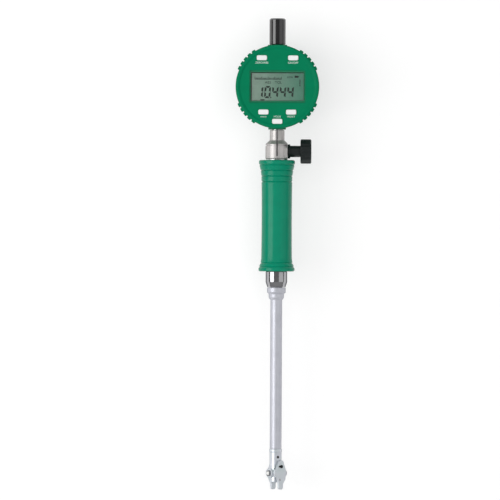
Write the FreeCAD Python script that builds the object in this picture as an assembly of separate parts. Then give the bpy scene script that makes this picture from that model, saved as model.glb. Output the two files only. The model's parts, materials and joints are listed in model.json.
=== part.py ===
import FreeCAD, Part

import math
import os

# A bore gauge with a digital indicator, lying on its back.
# X points to the clamp knob, Y along the gauge to the indicator's cap, Z up out of the display.
# The pieces are built round the centre of the display, on the long axis.
# At the end they move so that the gauge lies on Z = 0 with its box centred on X = 0 and Y = 0.
# Sizes are in millimetres, and a place along the gauge is a Y value.

# Fits
running = 0.03
seat_gap = 0.02
hand_gap = 0.2
contact_gap = 0.04
squareness = 0.01

# Grip, which with the back of the case is what the gauge lies on
grip_gap = 0.7
grip_length = 80.5
flare_radius = 13.1
waist_radius = 10.95
flare_length = 15.5
lower_flare_length = 10.5
flare_bend_out = 0.33
flare_bend_up = 0.58
waist_swell = 0.2
flare_land = 2.6
grip_edge = 0.7
ring_count = 4
ring_start = 3.5
ring_pitch = 4.05
ring_depth = 0.5
ring_half = 0.6
lower_ring_count = 2
lower_ring_start = 3.4
lower_ring_pitch = 2.75

# Indicator case
case_radius = 29.0
case_wall = 2.0
case_front = 5.0
case_floor = 1.4
case_edge = 0.6
cover_thickness = 1.8
neck_step = 3.0
neck_wall = 1.6
neck_height = 2.0
lip_width = 0.8
lip_height = 0.8
lip_room = 0.15
friction_ring_depth = 0.7
friction_ring_height = 0.8
friction_ring_drop = 0.4
post_radius = 1.9
post_inset = 4.2
cover_screw_radius = 1.0
cover_screw_head = 1.8
cover_screw_length = 7.0
cover_screw_sink = 0.15
screw_hole_spare = 0.5
screw_slot_width = 0.4
screw_slot_depth = 0.4

# Turning display housing
face_overhang = 1.2
face_depth = 10.0
face_plate = 2.4
face_sink = 0.8
face_edge = 0.5
rim_round = 1.2
rim_land = 0.7
rim_slope = 1.5
face_wall = 2.0
tooth_height = 1.2
tooth_step = 7.4
tooth_width = 2.9
tooth_count = 5
tooth_first = 26.0
tooth_round = 0.6
tooth_inset = 1.0
window_side_margin = 10.05
window_top_margin = 18.6
window_corner = 1.0
window_thickness = 0.8
window_recess = 1.6
ledge_side = 0.85
ledge_top = 1.3
display_lap_side = 1.7
display_lap_top = 2.2
display_corner = 0.5
display_gap = 0.1
board_thickness = 1.6
board_inset = 1.7
keypad_inset = 0.5
keypad_thickness = 0.9
face_post_radius = 1.7
face_post_room = 0.7
face_screw_radius = 0.8
face_screw_head = 1.25
face_screw_head_height = 0.7
face_screw_depth = 3.2
face_screw_room = 0.17

# Buttons
button_width = 7.4
button_height = 3.6
button_corner = 1.1
button_rise = 0.6
button_edge = 0.25
button_flange = 0.6
button_flange_thickness = 0.6
button_foot_height = 0.5
button_travel = 0.4
upper_button_inset = 6.6
upper_button_angle = 61.4
lower_button_inset = 9.25
lower_button_angle = 61.5
bottom_button_inset = 5.1

# Stem, spindle and cap
stem_radius = 4.0
stem_chamfer = 0.3
stem_past_knob = 3.4
stem_boss_radius = 6.4
stem_boss_reach = 1.8
stem_boss_depth = 5.6
stem_flange = 5.2
stem_flange_thickness = 1.0
spindle_radius = 2.0
bush_wall = 0.6
bush_length = 6.0
spindle_chamfer = 0.4
spindle_below_cap = 8.5
spindle_reach = 3.0
contact_length = 8.4
contact_radius = 1.9
contact_shank = 4.6
contact_taper = 1.2
contact_tip_radius = 1.2
cap_radius = 5.9
cap_length = 18.9
cap_wall = 1.4
cap_edge = 0.9
cap_mouth_edge = 0.4
cap_bore = 3.2
cap_bush_radius = 4.4
cap_bush_grip = 5.8
top_boss_radius = 7.0
top_boss_depth = 3.5
top_boss_reach = 1.4
carrier_width = 13.0
carrier_length = 17.0
carrier_depth = 5.6
carrier_y = 3.0
carrier_round = 1.2
scale_thickness = 0.8
scale_width = 10.0
reader_gap = 0.3
reader_thickness = 1.2
reader_width = 20.0
reader_length = 28.0
reader_corner = 1.0
reader_post_x = 8.2
reader_post_y = 12.2
reader_post_radius = 1.6
reader_screw_radius = 0.8
reader_screw_head = 1.3
reader_screw_head_height = 0.6
reader_screw_depth = 3.0
screw_tip_room = 0.2
spindle_spring_radius = 3.1
spindle_spring_wire = 0.35
spindle_spring_turns = 5

# Battery
battery_radius = 10.0
battery_thickness = 3.2
battery_edge = 0.4
battery_room = 0.4
tray_wall = 1.0
tray_ceiling = 0.8
tray_height = 3.7
battery_cover_radius = 11.6
battery_cover_thickness = 0.95
battery_cover_sink = 0.2
coin_slot_width = 1.8
coin_slot_length = 14.0
coin_slot_depth = 0.45
coin_slot_corner = 0.8
contact_plate_inner = 2.0
contact_plate_outer = 7.0
contact_plate_thickness = 0.25

# Split clamp and knob
collet_gap = 0.4
collet_wall = 1.27
collet_edge = 0.3
collet_length = 7.5
cone_length = 2.7
cone_land = 0.5
groove_width = 0.8
groove_depth = 0.8
block_radius = 8.35
block_length = 10.8
block_edge = 0.5
boss_face = 7.5
boss_start = 0.8
boss_drop = 1.8
boss_half_depth = 6.4
boss_corner = 1.6
slit_width = 1.0
stem_stop = 1.0
spigot_length = 10.0
spigot_bore = 3.0
knob_drop = 5.2
knob_gap = 0.1
knob_flange_radius = 5.15
knob_flange = 1.9
knob_neck_radius = 4.15
knob_neck = 7.4
knob_radius = 8.95
knob_head = 7.9
knob_flutes = 12
knob_flute_radius = 1.5
knob_flute_out = 0.9
knob_edge = 0.7
knob_dish_radius = 5.0
knob_dish = 0.6
screw_radius = 2.9
screw_in_knob = 9.0
pad_radius = 2.2
pad_end = 5.6

# Handle core, collar, nose and tube
core_radius = 8.0
core_wall = 1.5
core_socket_length = 16.0
core_thread_length = 4.6
collar_radius = 7.75
collar_cylinder = 7.6
collar_length = 11.2
collar_end_radius = 6.6
collar_edge = 0.4
nose_gap = 0.3
nose_radius = 6.75
nose_cylinder = 3.3
nose_step_radius = 5.55
nose_step = 2.2
nose_round = 0.9
nose_length = 8.8
nose_end_radius = 4.6
nose_end = 1.5
tube_radius = 4.25
tube_wall = 1.65
tube_reach = 128.2
tube_in_core = 14.0

# Push rod
rod_radius = 1.5
rod_foot_radius = 1.0
rod_foot_rise = 7.6
rod_foot_taper = 0.5
rod_cap_radius = 2.5
rod_cap = 2.0
rod_cap_edge = 0.3
rod_spring_length = 14.8
rod_seat_radius = 4.8
rod_seat = 1.4
rod_spring_radius = 3.9
rod_spring_wire = 0.45
rod_spring_turns = 6
rod_travel = 1.2
guide_length = 6.0
middle_guide_rise = 71.6
lower_guide_rise = 15.6

# Measuring head, built with the measuring axis along X and turned about the tube
head_turn = 34.0
head_reach = 17.6
head_radius = 4.35
head_collar_radius = 4.6
head_collar = 2.6
head_chamfer = 0.5
head_spigot = 5.0
head_flat = 3.1
head_flat_drop = 3.8
head_below_axis = 6.5
barrel_radius = 3.4
barrel_front = 5.6
barrel_back = 5.8
barrel_edge = 0.4
crank_arm = 3.0
crank_half = 0.6
crank_hub = 0.85
crank_bar = 0.6
crank_nose = 0.5
crank_room = 0.1
crank_pin_radius = 0.4
crank_pin_half = 2.9
plunger_radius = 2.1
plunger_step = 0.5
plunger_step_length = 1.0
plunger_front = 6.75
ball_radius = 1.5
ball_front = 6.4
ball_groove = 0.35
ball_groove_depth = 0.5
key_x = -4.4
key_radius = 0.55
key_depth = 0.6
key_sink = 0.1
set_screw_rise = 11.6
set_screw_radius = 1.0
set_screw_depth = 1.7
socket_share = 0.5
socket_sides = 6
reference_thread = 1.95
reference_thread_start = 1.6
reference_flange = 2.5
reference_flange_thickness = 0.8
spacer_thickness = 0.4
reference_front = 8.65
reference_ball = 8.3
nut_thread = 2.8
nut_thread_length = 1.3
nut_radius = 3.45
nut_end_wall = 0.7
nut_flutes = 10
nut_flute_radius = 0.4

# Centring yoke on the head
cheek_inner = 3.64
cheek_thickness = 2.2
cheek_nose_x = -1.0
cheek_nose_radius = 3.8
cheek_nose_angle = 65.0
cheek_top = 9.4
cheek_top_half = 2.1
cheek_top_x = 1.2
cheek_back = 4.9
cheek_back_top = 3.0
cheek_back_low = 4.4
cheek_low = 11.8
cheek_edge = 0.45
prong_left = -0.7
prong_right = 2.7
prong_root = 7.6
yoke_travel = 1.5
yoke_bar_drop = 4.7
yoke_bar_half = 0.7
yoke_slot_room = 0.1
yoke_bore = 1.0
yoke_spring_radius = 0.6
yoke_spring_wire = 0.12
yoke_spring_turns = 4
yoke_plug = 0.9
yoke_plug_end = 4.0
guide_screw_x = 1.1
guide_screw_rise = 4.8
guide_screw_radius = 0.6
guide_screw_head = 1.15
guide_screw_head_height = 0.5
guide_screw_tip = 1.9
guide_screw_gap = 0.06

# Places worked out from the sizes
case_back = -flare_radius
cover_front = case_back + cover_thickness
case_bore = case_radius - case_wall
post_circle = case_radius - post_inset
neck_radius = case_radius - neck_step
neck_bore = neck_radius - neck_wall
face_radius = case_radius + face_overhang
cavity_radius = face_radius - face_wall
tooth_radius = face_radius + tooth_height
window_width = 2 * (face_radius - window_side_margin)
window_height = 2 * (face_radius - window_top_margin)
board_radius = cavity_radius - board_inset
keypad_radius = board_radius - keypad_inset
sight_width = window_width - 2 * ledge_side
sight_height = window_height - 2 * ledge_top
display_width = sight_width + 2 * display_lap_side
display_height = sight_height + 2 * display_lap_top
face_post_reach = neck_bore - face_screw_head - face_screw_room
face_post_y = display_height / 2 + face_post_radius + face_post_room
face_post_x = math.sqrt(face_post_reach ** 2 - face_post_y ** 2)
lip_back = case_front + neck_height
lip_top = lip_back + lip_height
lip_radius = neck_radius + lip_width
ring_high = lip_back - friction_ring_drop
ring_low = ring_high - friction_ring_height
face_back = case_front + hand_gap
face_top = face_back + face_depth
plate_top = face_top - face_sink
plate_back = plate_top - face_plate
button_foot = plate_back - button_flange_thickness - button_foot_height
keypad_top = button_foot - button_travel - seat_gap
board_top = keypad_top - keypad_thickness
board_back = board_top - board_thickness
scale_back = -carrier_depth / 2 - scale_thickness
reader_front = scale_back - reader_gap
reader_back = reader_front - reader_thickness
top_boss_root = case_radius - top_boss_depth
top_boss_end = case_radius + top_boss_reach
cap_bottom = top_boss_end + hand_gap
cap_top = cap_bottom + cap_length
spindle_top = cap_top - spindle_below_cap
stem_boss_root = stem_boss_depth - case_radius
stem_boss_end = -case_radius - stem_boss_reach
collet_top = stem_boss_end - collet_gap
collet_end = collet_top - collet_length
cone_end = collet_end - cone_length
boss_top = cone_end - boss_drop
knob_y = cone_end - knob_drop
block_end = cone_end - block_length
stem_end = knob_y - stem_past_knob
spindle_end = stem_end - spindle_reach
contact_end = spindle_end - contact_length
grip_top = block_end - grip_gap
spindle_bore = spindle_radius + running
tray_radius = battery_radius + battery_room
collet_bore = stem_radius + running
collet_radius = collet_bore + collet_wall
spigot_end = block_end - spigot_length
core_bore = core_radius - core_wall
core_top = block_end - seat_gap
grip_end = grip_top - grip_length
core_end = grip_end - core_thread_length
socket_top = grip_end + core_socket_length
collar_start = grip_end - seat_gap
collar_end = collar_start - collar_length
nose_start = collar_end - nose_gap
tube_fit = tube_radius + seat_gap
tube_bore = tube_radius - tube_wall
tube_top = grip_end + tube_in_core
tube_end = grip_end - tube_reach
anvil_y = tube_end - head_reach
rod_seat_y = spigot_end - rod_spring_length
rod_foot_start = tube_end + rod_foot_rise
middle_guide_y = tube_end + middle_guide_rise
lower_guide_y = tube_end + lower_guide_rise
head_flat_top = tube_end - head_flat_drop
set_screw_y = anvil_y + set_screw_rise
knob_start = boss_face + knob_gap
knob_end = knob_start + knob_flange + knob_neck + knob_head
rod_bore = rod_radius + running
rod_top = contact_end - contact_gap
crank_x = -crank_arm
crank_y = anvil_y + crank_arm
rod_foot = crank_y + crank_nose + contact_gap
plunger_back = crank_x - crank_nose - contact_gap
plunger_bore = plunger_radius + running
cheek_outer = cheek_inner + cheek_thickness
yoke_bar_y = anvil_y - yoke_bar_drop
guide_screw_y = anvil_y + guide_screw_rise
nut_start = barrel_back - nut_thread_length
reference_shoulder = barrel_back + spacer_thickness
nut_inside = reference_shoulder + reference_flange_thickness
nut_end = nut_inside + seat_gap + nut_end_wall
centre_y = (cap_top + anvil_y - cheek_low) / 2

os.makedirs("parts", exist_ok=True)


def vec(x, y, z):
    """A point or a direction."""
    return FreeCAD.Vector(x, y, z)


origin = vec(0, 0, 0)
along_x = vec(1, 0, 0)
along_y = vec(0, 1, 0)
along_z = vec(0, 0, 1)


def rod_x(radius, x0, x1, y=0.0, z=0.0):
    """A round bar along X."""
    return Part.makeCylinder(radius, x1 - x0, vec(x0, y, z), along_x)


def rod_y(radius, y0, y1, x=0.0, z=0.0):
    """A round bar along Y."""
    return Part.makeCylinder(radius, y1 - y0, vec(x, y0, z), along_y)


def rod_z(radius, z0, z1, x=0.0, y=0.0):
    """A round bar along Z."""
    return Part.makeCylinder(radius, z1 - z0, vec(x, y, z0), along_z)


def block(x0, x1, y0, y1, z0, z1):
    """A box between two corners."""
    return Part.makeBox(x1 - x0, y1 - y0, z1 - z0, vec(x0, y0, z0))


def edges_along(shape, direction):
    """The straight edges of a shape that run along a direction."""
    found = []
    for edge in shape.Edges:
        if isinstance(edge.Curve, Part.Line):
            across = edge.tangentAt(edge.FirstParameter).cross(direction)
            if across.Length < squareness:
                found.append(edge)
    return found


def pill(width, height, corner, z0, z1, x=0.0, y=0.0):
    """A plate with rounded corners, centred on x, y."""
    plate = block(x - width / 2, x + width / 2, y - height / 2, y + height / 2, z0, z1)
    return plate.makeFillet(corner, edges_along(plate, along_z))


def outline(steps):
    """A closed wire through points, where a pair is an arc by way of its first point."""
    edges = []
    here = steps[0]
    for step in steps[1:] + [steps[0]]:
        if isinstance(step, tuple):
            edges.append(Part.Arc(here, step[0], step[1]).toShape())
            here = step[1]
        else:
            edges.append(Part.makeLine(here, step))
            here = step
    return Part.Wire(edges)


def turned(steps, axis):
    """A body turned about an axis through the origin."""
    return Part.Face(outline(steps)).revolve(origin, axis, 360)


def turned_y(points):
    """A body turned about the long axis, from pairs of radius and Y."""
    return turned([vec(radius, y, 0) for radius, y in points], along_y)


def turned_z(points):
    """A body turned about the display's axis, from pairs of radius and Z."""
    return turned([vec(radius, 0, z) for radius, z in points], along_z)


def four_places(x, y):
    """A place and its three mirror images."""
    return [(x, y), (-x, y), (-x, -y), (x, -y)]


def compound(shapes):
    """Separate solids that are kept as one sub-part."""
    return Part.makeCompound(shapes)


def coil(radius, wire, turns, y0, y1):
    """A compression spring of square wire about the long axis; wire is half its width."""
    rise = y1 - y0 - 2 * wire
    path = Part.makeHelix(rise / turns, rise, radius)
    section = Part.makePolygon([
        vec(radius - wire, 0, -wire),
        vec(radius + wire, 0, -wire),
        vec(radius + wire, 0, wire),
        vec(radius - wire, 0, wire),
        vec(radius - wire, 0, -wire),
    ])
    spring = Part.Wire(path).makePipeShell([section], True, True)
    spring.rotate(origin, along_x, -90)
    spring.translate(vec(0, y0 + wire, 0))
    return spring


def in_head(shape):
    """A piece of the head, turned from its own frame to the gauge's."""
    copy = shape.copy()
    copy.rotate(origin, along_y, head_turn)
    return copy


def keep(name, shape):
    """Write one sub-part at its place on the floor."""
    placed = shape.copy()
    placed.translate(vec(0, -centre_y, -case_back))
    placed.exportStep("parts/" + name + ".step")


def cover_screw_places():
    reach = post_circle * math.sqrt(0.5)
    return four_places(reach, reach)


# Case: a cup open to the back, with the neck that the display housing turns on
def case_body():
    shell = turned_z([
        (case_bore, cover_front),
        (case_radius, cover_front),
        (case_radius, case_front - case_edge),
        (case_radius - case_edge, case_front),
        (neck_radius, case_front),
        (neck_radius, lip_back),
        (lip_radius, lip_back),
        (lip_radius, lip_top),
        (neck_bore, lip_top),
        (neck_bore, case_front - case_floor),
        (case_bore, case_front - case_floor),
    ])
    below = block(-case_radius, case_radius, -case_radius * 2, case_radius * 2, case_back, case_front)
    lower_boss = rod_y(stem_boss_radius, stem_boss_end, stem_boss_root).common(below)
    upper_boss = rod_y(top_boss_radius, top_boss_root, top_boss_end).common(below)
    shell = shell.fuse(lower_boss).fuse(upper_boss)
    for x, y in cover_screw_places():
        shell = shell.fuse(rod_z(post_radius, cover_front, case_front - case_floor, x, y))
    shell = shell.cut(rod_y(stem_radius, stem_boss_end - 1, stem_boss_root + 1))
    shell = shell.cut(rod_y(cap_bush_radius, top_boss_root - 1, top_boss_end + 1))
    groove = rod_z(case_bore, ring_low, ring_high)
    shell = shell.cut(groove.cut(rod_z(neck_radius - friction_ring_depth, case_back, face_top)))
    hole_end = case_back + cover_screw_length + screw_hole_spare
    for x, y in cover_screw_places():
        shell = shell.cut(rod_z(cover_screw_radius, cover_front, hole_end, x, y))
    return shell.removeSplitter()


def friction_ring():
    low = ring_low + seat_gap
    high = ring_high - seat_gap
    inner = neck_radius - friction_ring_depth + seat_gap
    ring = rod_z(neck_radius + hand_gap / 2 - seat_gap, low, high)
    return ring.cut(rod_z(inner, low, high))


# Back cover with the battery tray and the posts of the reader board
def rear_cover():
    cover = rod_z(case_radius, case_back, cover_front)
    cover = cover.makeChamfer(case_edge, [cover.Edges[2]])
    tray_top = cover_front + tray_height
    cover = cover.fuse(rod_z(tray_radius + tray_wall, cover_front, tray_top))
    cover = cover.cut(rod_z(tray_radius, case_back, tray_top - tray_ceiling))
    seat = case_back + battery_cover_sink + battery_cover_thickness
    cover = cover.cut(rod_z(battery_cover_radius + seat_gap, case_back, seat))
    for x, y in four_places(reader_post_x, reader_post_y):
        post = rod_z(reader_post_radius, cover_front, reader_back, x, y)
        hole = rod_z(reader_screw_radius, reader_back - reader_screw_depth, reader_back, x, y)
        cover = cover.fuse(post).cut(hole)
    for x, y in cover_screw_places():
        cover = cover.cut(cover_screw(x, y, seat_gap))
    return cover


def cover_screw(x, y, extra):
    """A countersunk screw; extra is added all round to cut its hole."""
    start = case_back + cover_screw_sink
    head_height = cover_screw_head - cover_screw_radius
    shank = rod_z(cover_screw_radius, start, case_back + cover_screw_length, x, y)
    cone = Part.makeCone(cover_screw_head, cover_screw_radius, head_height, vec(x, y, start), along_z)
    if extra:
        return shank.fuse(cone).fuse(rod_z(cover_screw_head, case_back, start, x, y))
    half = screw_slot_width / 2
    reach = cover_screw_head
    slot = block(x - reach, x + reach, y - half, y + half, start, start + screw_slot_depth)
    return shank.fuse(cone).cut(slot)


def cover_screws():
    return compound([cover_screw(x, y, 0) for x, y in cover_screw_places()])


def battery_cover():
    low = case_back + battery_cover_sink
    disc = rod_z(battery_cover_radius, low, low + battery_cover_thickness - seat_gap)
    slot = pill(coin_slot_length, coin_slot_width, coin_slot_corner, low, low + coin_slot_depth)
    return disc.cut(slot)


def battery():
    low = case_back + battery_cover_sink + battery_cover_thickness + seat_gap
    cell = rod_z(battery_radius, low, low + battery_thickness)
    return cell.makeChamfer(battery_edge, [cell.Edges[0], cell.Edges[2]])


def battery_contact():
    high = cover_front + tray_height - tray_ceiling - seat_gap
    low = case_back + battery_cover_sink + battery_cover_thickness + battery_thickness + 2 * seat_gap
    return turned_z([
        (contact_plate_inner, low),
        (contact_plate_outer, high - contact_plate_thickness),
        (contact_plate_outer, high),
        (contact_plate_inner, low + contact_plate_thickness),
    ])


def reader_board():
    board = pill(reader_width, reader_length, reader_corner, reader_back, reader_front)
    for x, y in four_places(reader_post_x, reader_post_y):
        board = board.cut(rod_z(reader_screw_radius + hand_gap / 2, reader_back, reader_front, x, y))
    return board


def reader_screws():
    screws = []
    for x, y in four_places(reader_post_x, reader_post_y):
        tip = reader_back - reader_screw_depth + screw_tip_room
        shank = rod_z(reader_screw_radius, tip, reader_front, x, y)
        head = rod_z(reader_screw_head, reader_front, reader_front + reader_screw_head_height, x, y)
        screws.append(shank.fuse(head))
    return compound(screws)


# Display housing: a turning shell with a sunk face, a window and gripping teeth on its diagonals
def face_housing():
    hook = neck_radius + hand_gap / 2
    room = lip_radius + lip_room
    rim_outer = face_radius - rim_round
    rim_inner = rim_outer - rim_land
    bevel = rim_round * (1 - math.sqrt(0.5))
    steps = [
        vec(hook, 0, face_back),
        vec(face_radius - face_edge, 0, face_back),
        vec(face_radius, 0, face_back + face_edge),
        vec(face_radius, 0, face_top - rim_round),
        (vec(face_radius - bevel, 0, face_top - bevel), vec(rim_outer, 0, face_top)),
        vec(rim_inner, 0, face_top),
        vec(rim_inner - rim_slope, 0, plate_top),
        vec(0, 0, plate_top),
        vec(0, 0, plate_back),
        vec(cavity_radius, 0, plate_back),
        vec(cavity_radius, 0, lip_top + hand_gap),
        vec(room, 0, lip_top + hand_gap),
        vec(room, 0, lip_back - hand_gap),
        vec(hook, 0, lip_back - hand_gap),
    ]
    shell = turned(steps, along_z)
    shell = shell.fuse(face_teeth())
    for x, y in four_places(face_post_x, face_post_y):
        post = rod_z(face_post_radius, board_top, plate_back, x, y)
        hole = rod_z(face_screw_radius, board_top, board_back + face_screw_depth + screw_tip_room, x, y)
        shell = shell.fuse(post).cut(hole)
    recess = plate_top - window_recess
    shell = shell.cut(pill(window_width, window_height, window_corner, recess, plate_top))
    shell = shell.cut(pill(sight_width, sight_height, window_corner, plate_back, plate_top))
    for x, y in button_places().values():
        width = button_width + hand_gap
        height = button_height + hand_gap
        shell = shell.cut(pill(width, height, button_corner, plate_back, face_top, x, y))
    return shell


def face_teeth():
    """The teeth, four groups that mirror each other."""
    low = face_back + tooth_inset
    high = face_top - rim_round - tooth_inset / 2
    root = case_radius
    half = tooth_width / 2
    tooth = block(root, tooth_radius, -half, half, low, high)
    outer = [edge for edge in edges_along(tooth, along_z) if edge.CenterOfMass.x > face_radius]
    tooth = tooth.makeFillet(tooth_round, outer)
    teeth = []
    for quarter in (0, 180):
        for number in range(tooth_count):
            for side in (1, -1):
                copy = tooth.copy()
                copy.rotate(origin, along_z, quarter + side * (tooth_first + number * tooth_step))
                teeth.append(copy)
    return teeth


def window():
    low = plate_top - window_recess + seat_gap
    width = window_width - hand_gap / 2
    height = window_height - hand_gap / 2
    return pill(width, height, window_corner, low, low + window_thickness)


def display_module():
    back = board_top + seat_gap
    return pill(display_width, display_height, display_corner, back, plate_back - display_gap)


def circuit_board():
    board = rod_z(board_radius, board_back, board_top)
    for x, y in four_places(face_post_x, face_post_y):
        board = board.cut(rod_z(face_screw_radius + hand_gap / 2, board_back, board_top, x, y))
    return board


def board_screws():
    screws = []
    for x, y in four_places(face_post_x, face_post_y):
        shank = rod_z(face_screw_radius, board_back, board_back + face_screw_depth, x, y)
        head = rod_z(face_screw_head, board_back - face_screw_head_height, board_back, x, y)
        screws.append(shank.fuse(head))
    return compound(screws)


def keypad():
    """Two rubber mats, above and below the display."""
    sheet = rod_z(keypad_radius, board_top + seat_gap, keypad_top)
    half = display_height / 2 + hand_gap
    sheet = sheet.cut(block(-keypad_radius, keypad_radius, -half, half, board_top, keypad_top))
    for x, y in four_places(face_post_x, face_post_y):
        sheet = sheet.cut(rod_z(face_post_radius + hand_gap / 2, board_top, keypad_top, x, y))
    return sheet


def button_place(inset, angle):
    """A place by its distance from the rim and its angle above the knob's side."""
    reach = face_radius - inset
    return (reach * math.cos(math.radians(angle)), reach * math.sin(math.radians(angle)))


def button_places():
    return {
        "button_upper_left": button_place(upper_button_inset, 180 - upper_button_angle),
        "button_upper_right": button_place(upper_button_inset, upper_button_angle),
        "button_lower_left": button_place(lower_button_inset, 180 + lower_button_angle),
        "button_lower_right": button_place(lower_button_inset, -lower_button_angle),
        "button_bottom": button_place(bottom_button_inset, -90),
    }


def button(x, y):
    """A push button with the flange that holds it behind the face."""
    flange_top = plate_back - seat_gap
    flange_back = flange_top - button_flange_thickness
    key = pill(button_width, button_height, button_corner, flange_top, plate_top + button_rise, x, y)
    rims = [edge for edge in key.Edges if edge.BoundBox.ZMin > plate_top]
    key = key.makeChamfer(button_edge, rims)
    wide = 2 * button_flange
    flange = pill(button_width + wide, button_height + wide, button_corner, flange_back, flange_top, x, y)
    foot = pill(button_width / 2, button_height / 2, button_corner / 2, button_foot, flange_back, x, y)
    return key.fuse(flange).fuse(foot)


# Stem, spindle and measuring system
def stem():
    return turned_y([
        (spindle_bore + bush_wall, stem_end),
        (stem_radius - stem_chamfer, stem_end),
        (stem_radius, stem_end + stem_chamfer),
        (stem_radius, stem_boss_root),
        (stem_flange, stem_boss_root),
        (stem_flange, stem_boss_root + stem_flange_thickness),
        (spindle_bore + bush_wall, stem_boss_root + stem_flange_thickness),
    ])


def stem_bush(y0, y1):
    return rod_y(spindle_bore + bush_wall, y0, y1).cut(rod_y(spindle_bore, y0, y1))


def stem_bushes():
    top = stem_boss_root + stem_flange_thickness
    return compound([stem_bush(stem_end, stem_end + bush_length), stem_bush(top - bush_length, top)])


def cap_bush():
    low = top_boss_root - stem_flange_thickness
    high = top_boss_end + cap_bush_grip
    return rod_y(cap_bush_radius, low, high).cut(rod_y(spindle_bore, low, high))


def spindle():
    bar = rod_y(spindle_radius, spindle_end, spindle_top)
    rims = [edge for edge in bar.Edges if edge.BoundBox.YMin > spindle_top - spindle_chamfer]
    return bar.makeChamfer(spindle_chamfer, rims)


def contact_point():
    tip = contact_tip_radius
    slant = math.sqrt(0.5)
    shank = spindle_end - contact_shank
    steps = [
        vec(0, spindle_end, 0),
        vec(contact_radius, spindle_end, 0),
        vec(contact_radius, shank, 0),
        vec(tip, shank - contact_taper, 0),
        vec(tip, contact_end + tip, 0),
        (vec(tip * slant, contact_end + tip * (1 - slant), 0), vec(0, contact_end, 0)),
    ]
    return turned(steps, along_y)


def scale_carrier():
    half_x = carrier_width / 2
    half_y = carrier_length / 2
    half_z = carrier_depth / 2
    carrier = block(-half_x, half_x, carrier_y - half_y, carrier_y + half_y, -half_z, half_z)
    carrier = carrier.makeFillet(carrier_round, edges_along(carrier, along_y))
    return carrier.cut(rod_y(spindle_radius + seat_gap, carrier_y - half_y, carrier_y + half_y))


def scale_strip():
    half = carrier_length / 2
    return block(-scale_width / 2, scale_width / 2, carrier_y - half, carrier_y + half,
                 scale_back, -carrier_depth / 2)


def spindle_spring():
    low = carrier_y + carrier_length / 2
    high = top_boss_root - stem_flange_thickness
    return coil(spindle_spring_radius, spindle_spring_wire, spindle_spring_turns, low, high)


def spindle_cap():
    shoulder = top_boss_end + cap_bush_grip + hand_gap
    fit = cap_bush_radius + seat_gap
    return turned_y([
        (fit, cap_bottom),
        (cap_radius - cap_mouth_edge, cap_bottom),
        (cap_radius, cap_bottom + cap_mouth_edge),
        (cap_radius, cap_top - cap_edge),
        (cap_radius - cap_edge, cap_top),
        (0, cap_top),
        (0, cap_top - cap_wall),
        (cap_bore, cap_top - cap_wall),
        (cap_bore, shoulder),
        (fit, shoulder),
    ])


# Split clamp that holds the indicator's stem
def clamp_body():
    body = turned_y([
        (collet_bore, collet_top),
        (collet_radius - collet_edge, collet_top),
        (collet_radius, collet_top - collet_edge),
        (collet_radius, collet_end),
        (block_radius, cone_end),
        (block_radius, cone_end - cone_land),
        (block_radius - groove_depth, cone_end - cone_land),
        (block_radius - groove_depth, cone_end - cone_land - groove_width),
        (block_radius, cone_end - cone_land - groove_width),
        (block_radius, block_end + block_edge),
        (block_radius - block_edge, block_end),
        (core_bore - seat_gap, block_end),
        (core_bore - seat_gap, spigot_end),
        (spigot_bore, spigot_end),
        (spigot_bore, stem_end - stem_stop),
        (collet_bore, stem_end - stem_stop),
    ])
    boss = block(boss_start, boss_face, block_end, boss_top, -boss_half_depth, boss_half_depth)
    boss = boss.makeFillet(boss_corner, edges_along(boss, along_x))
    inner = rod_y(block_radius - block_edge, block_end, boss_top)
    body = body.fuse(boss.cut(inner))
    wide = block_radius
    body = body.cut(block(boss_face, 2 * wide, spigot_end, collet_end, -wide, wide))
    half = slit_width / 2
    front = block(-half, half, stem_end, collet_top, 0, 2 * wide)
    back = block(-half, half, collet_end, collet_top, -wide, 0)
    body = body.cut(front).cut(back)
    body = body.cut(rod_x(pad_radius + running, 0, pad_end + seat_gap, knob_y))
    return body.cut(rod_x(screw_radius + running, pad_end, 2 * wide, knob_y))


def clamp_pad():
    pad = rod_x(pad_radius, 0, pad_end, knob_y)
    return pad.cut(rod_y(stem_radius + seat_gap, knob_y - block_radius, knob_y + block_radius))


def clamp_screw():
    return rod_x(screw_radius, pad_end + seat_gap, knob_start + screw_in_knob, knob_y)


def clamp_knob():
    neck_start = knob_start + knob_flange
    head_start = neck_start + knob_neck
    head = rod_x(knob_radius, head_start, knob_end, knob_y)
    rims = [edge for edge in head.Edges if isinstance(edge.Curve, Part.Circle)]
    head = head.makeChamfer(knob_edge, rims)
    for number in range(knob_flutes):
        angle = 2 * math.pi * number / knob_flutes
        reach = knob_radius + knob_flute_out
        y = knob_y + reach * math.cos(angle)
        z = reach * math.sin(angle)
        head = head.cut(rod_x(knob_flute_radius, head_start, knob_end, y, z))
    head = head.cut(rod_x(knob_dish_radius, knob_end - knob_dish, knob_end, knob_y))
    knob = head.fuse(rod_x(knob_neck_radius, knob_start, head_start, knob_y))
    knob = knob.fuse(rod_x(knob_flange_radius, knob_start, neck_start, knob_y))
    return knob.cut(rod_x(screw_radius, knob_start, knob_start + screw_in_knob + hand_gap, knob_y))


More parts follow.
